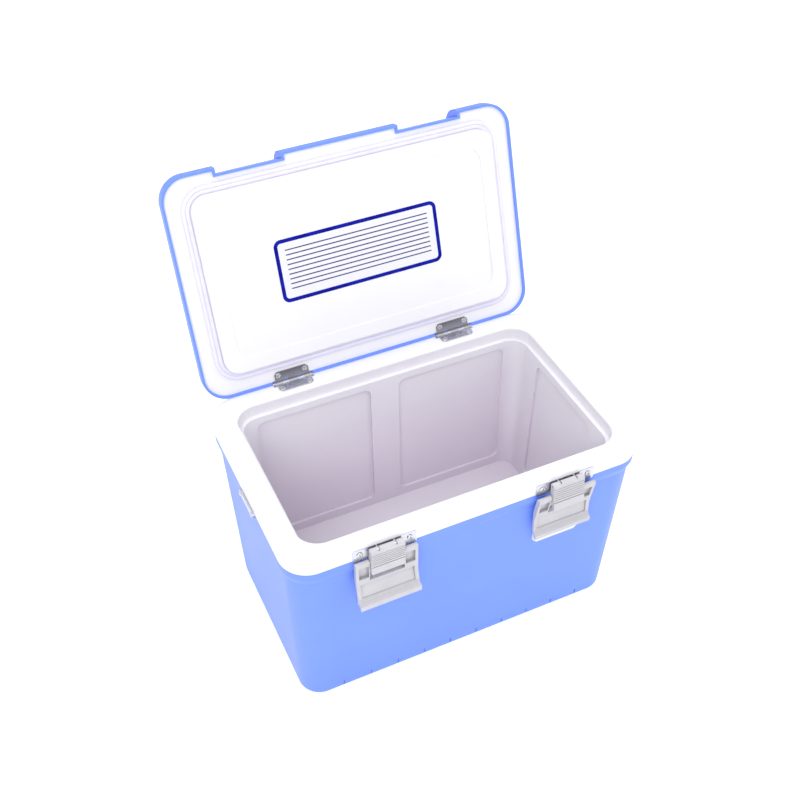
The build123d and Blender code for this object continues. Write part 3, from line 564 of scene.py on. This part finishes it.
# %% [markdown]
# Soft rubber has no gloss, a faint bloom and a fine skin. A little sheen stands for the dust that
# always clings to it.

# %% Seal
seal_soft = Finish("seal_pale", (0.80, 0.80, 0.87), 0.62, Sheen_Weight=0.25, Sheen_Roughness=0.5)
bloom = seal_soft.noise(60.0, 4.0)
skin = seal_soft.noise(1800.0, 2.0)
seal_tone = seal_soft.mixed(seal_soft.remap(bloom, 0.35, 0.7, 0.0, 1.0),
                            (0.73, 0.71, 0.84), (0.69, 0.67, 0.82))
seal_soft.feed("Base Color", seal_tone)
seal_soft.feed("Roughness", seal_soft.remap(bloom, 0.3, 0.7, 0.55, 0.70))
seal_soft.bump((skin, 0.00004))

SEAL_WIDTH, SEAL_LOW, SEAL_HIGH = 0.0086, 0.2383, 0.2431
PLUG_LENGTH, PLUG_WIDTH, PLUG_CORNER, PLUG_Y = 0.333, 0.192, 0.0175, -0.0032
loop, out = rounded_loop(PLUG_LENGTH + SEAL_WIDTH, PLUG_WIDTH + SEAL_WIDTH, PLUG_CORNER + SEAL_WIDTH / 2)
across = np.linspace(-1, 1, 33)
lips = SEAL_LOW + 0.0016 * (1 - np.sqrt(np.clip(1 - (2 * np.abs(across) - 1) ** 2, 0, 1)))
side = np.concatenate([across * SEAL_WIDTH / 2, [SEAL_WIDTH / 2, -SEAL_WIDTH / 2]])
rise = np.concatenate([lips, [SEAL_HIGH, SEAL_HIGH]])
ring = loop[:, None, :] + side[None, :, None] * out[:, None, :]
heights = np.broadcast_to(rise[None, :, None], (*ring.shape[:2], 1))
seal_grid = np.concatenate([ring + np.array([0, PLUG_Y]), heights], axis=-1)
rows, columns = seal_grid.shape[:2]
wrapped = tube_faces(rows + 1, columns) % (rows * columns)
piece("lid_gasket", [(in_lid(seal_grid).reshape(-1, 3), wrapped.tolist())], seal_soft, "lid", "lid_seal")

# %% [markdown]
# ## The label
# A thin silver-white plate with a dark blue border is stuck in the middle of the lid. It is bare but
# for plain ruled lines, as on a card for notes. The plate could be painted with one image, but a
# border and lines that are pieces of their own stay sharp however close the camera comes.

# %% Label finishes
label_foil = Finish("label_silver", (0.88, 0.88, 0.93), 0.38, Metallic=0.08)
foil = label_foil.noise(420.0, 3.0)
weave_links = {"Vector": label_foil.point, "Scale": 1100.0}
weave = label_foil.node("ShaderNodeTexVoronoi", weave_links).outputs["Distance"]
label_foil.feed("Base Color", label_foil.mixed(label_foil.remap(foil, 0.3, 0.7, 0.0, 1.0),
                                               (0.76, 0.76, 0.83), (0.72, 0.72, 0.79)))
label_foil.feed("Roughness", label_foil.remap(foil, 0.3, 0.7, 0.28, 0.42))
label_foil.bump((weave, 0.00001))

ink_blue = Finish("ink_blue", (0.008, 0.012, 0.30), 0.30, Specular_IOR_Level=0.08)
pool = ink_blue.noise(90.0, 2.0)
blue_ink_tone = ink_blue.mixed(ink_blue.remap(pool, 0.35, 0.65, 0.0, 1.0),
                               (0.002, 0.004, 0.22), (0.005, 0.012, 0.32))
ink_blue.feed("Base Color", blue_ink_tone)
ink_blue.feed("Roughness", ink_blue.remap(pool, 0.3, 0.7, 0.42, 0.55))
ink_blue.bump((pool, 0.00001))

ink_grey = Finish("ink_grey", (0.05, 0.06, 0.20), 0.5, Specular_IOR_Level=0.1)
speckle = ink_grey.noise(900.0, 2.0)
grey_ink_tone = ink_grey.mixed(ink_grey.remap(speckle, 0.4, 0.6, 0.0, 1.0),
                               (0.010, 0.014, 0.09), (0.05, 0.055, 0.18))
ink_grey.feed("Base Color", grey_ink_tone)
ink_grey.feed("Roughness", ink_grey.remap(speckle, 0.3, 0.7, 0.4, 0.6))
ink_grey.bump((speckle, 0.000006))

# %% [markdown]
# The plate is a stack of ever smaller outlines: under its edge, up its side, over a rounded rim and
# in towards the middle, where two single points close it. The border is the same kind of stack, but
# it runs round a tube, from its outer edge over the top to its inner edge and back underneath.

# %% Label plate and border
LABEL_LENGTH, LABEL_WIDTH, LABEL_CORNER, LABEL_Y = 0.184, 0.068, 0.008, PLUG_Y
LABEL_SEAT, LABEL_FACE = 0.2333, 0.2329


def outline_rows(rows, per_corner=14, per_side=24):
    """One rounded outline of the label for each (inset, height) row, as a grid of points in the shut lid."""
    made = []
    for inset, rise in rows:
        flat, _ = rounded_loop(LABEL_LENGTH - 2 * inset, LABEL_WIDTH - 2 * inset,
                               max(LABEL_CORNER - inset, 0.0008), per_corner, per_side)
        made.append(np.column_stack([flat[:, 0], flat[:, 1] + LABEL_Y, np.full(len(flat), rise)]))
    return np.stack(made)


plate_rows = [(0.012, LABEL_SEAT), (0.0, LABEL_SEAT), (0.0, LABEL_FACE + 0.0001), (0.0001, LABEL_FACE),
              (0.004, LABEL_FACE), (0.012, LABEL_FACE)]
plate_grid = outline_rows(plate_rows)
panel = (in_lid(with_poles(plate_grid)), closed_faces(*plate_grid.shape[:2]))
piece("label_panel", [panel], label_foil, "lid", "label_plate", smooth=False)

BORDER_OUT, BORDER_IN, BORDER_FACE = 0.0001, 0.0042, 0.2328
border_rim = BORDER_FACE + 0.00004
border_grid = outline_rows([(BORDER_OUT, LABEL_FACE), (BORDER_OUT, border_rim), (BORDER_OUT + 0.0001, BORDER_FACE),
                            (BORDER_IN - 0.0001, BORDER_FACE), (BORDER_IN, border_rim), (BORDER_IN, LABEL_FACE)])
border_rows, border_columns = border_grid.shape[:2]
border = (in_lid(border_grid).reshape(-1, 3),
          (tube_faces(border_rows + 1, border_columns) % (border_rows * border_columns)).tolist())
piece("label_border", [border], ink_blue, "lid", "label_plate", smooth=False)

# %% [markdown]
# A ruled line is a thin strip that stands hardly proud of the foil. All of them are one array: the
# eight corners of a strip, moved to the place of each line.

# %% Ruled lines
cube = np.array([(x, y, z) for z in (0, 1) for y in (-1, 1) for x in (-1, 1)], float)
cube_faces = [(0, 1, 3, 2), (4, 6, 7, 5), (0, 4, 5, 1), (2, 3, 7, 6), (0, 2, 6, 4), (1, 5, 7, 3)]
LINE_PITCH, LINE_COUNT = 0.0052, 9
line_places = LABEL_Y + (np.arange(LINE_COUNT) - (LINE_COUNT - 1) / 2) * LINE_PITCH - 0.001
LINE_SIZE = np.array([0.0805, 0.00062, -0.00005])
strips = [(in_lid(cube * LINE_SIZE + np.array([0.0, y, LABEL_FACE])), cube_faces) for y in line_places]
piece("label_ruling", strips, ink_grey, "lid", "label_plate", smooth=False)

# %% [markdown]
# ## The floor
# The box stands on a wide pale sweep of studio paper, which only has to catch a soft shadow.
# The paper glows a little, like a light table, so that it stays white far from the lamps and takes
# on less of the blue from the shell.

# %% Floor
paper = Finish("floor_paper", (0.90, 0.90, 0.90), 0.9, Emission_Color=(1, 1, 1, 1), Emission_Strength=0.28)
fibre = paper.noise(300.0, 3.0)
paper.bump((fibre, 0.00005))
reach = 6.0
sweep_mesh = bpy.data.meshes.new("floor")
corners = np.array([(-reach, -reach, 0), (reach, -reach, 0), (reach, reach, 0), (-reach, reach, 0)], float)
sweep_mesh.from_pydata(corners.tolist(), [], [(0, 1, 2, 3)])
sweep_mesh.materials.append(paper.material)
floor = bpy.data.objects.new("floor", sweep_mesh)
bpy.context.scene.collection.objects.link(floor)
print("floor", reach * 2, "m wide")
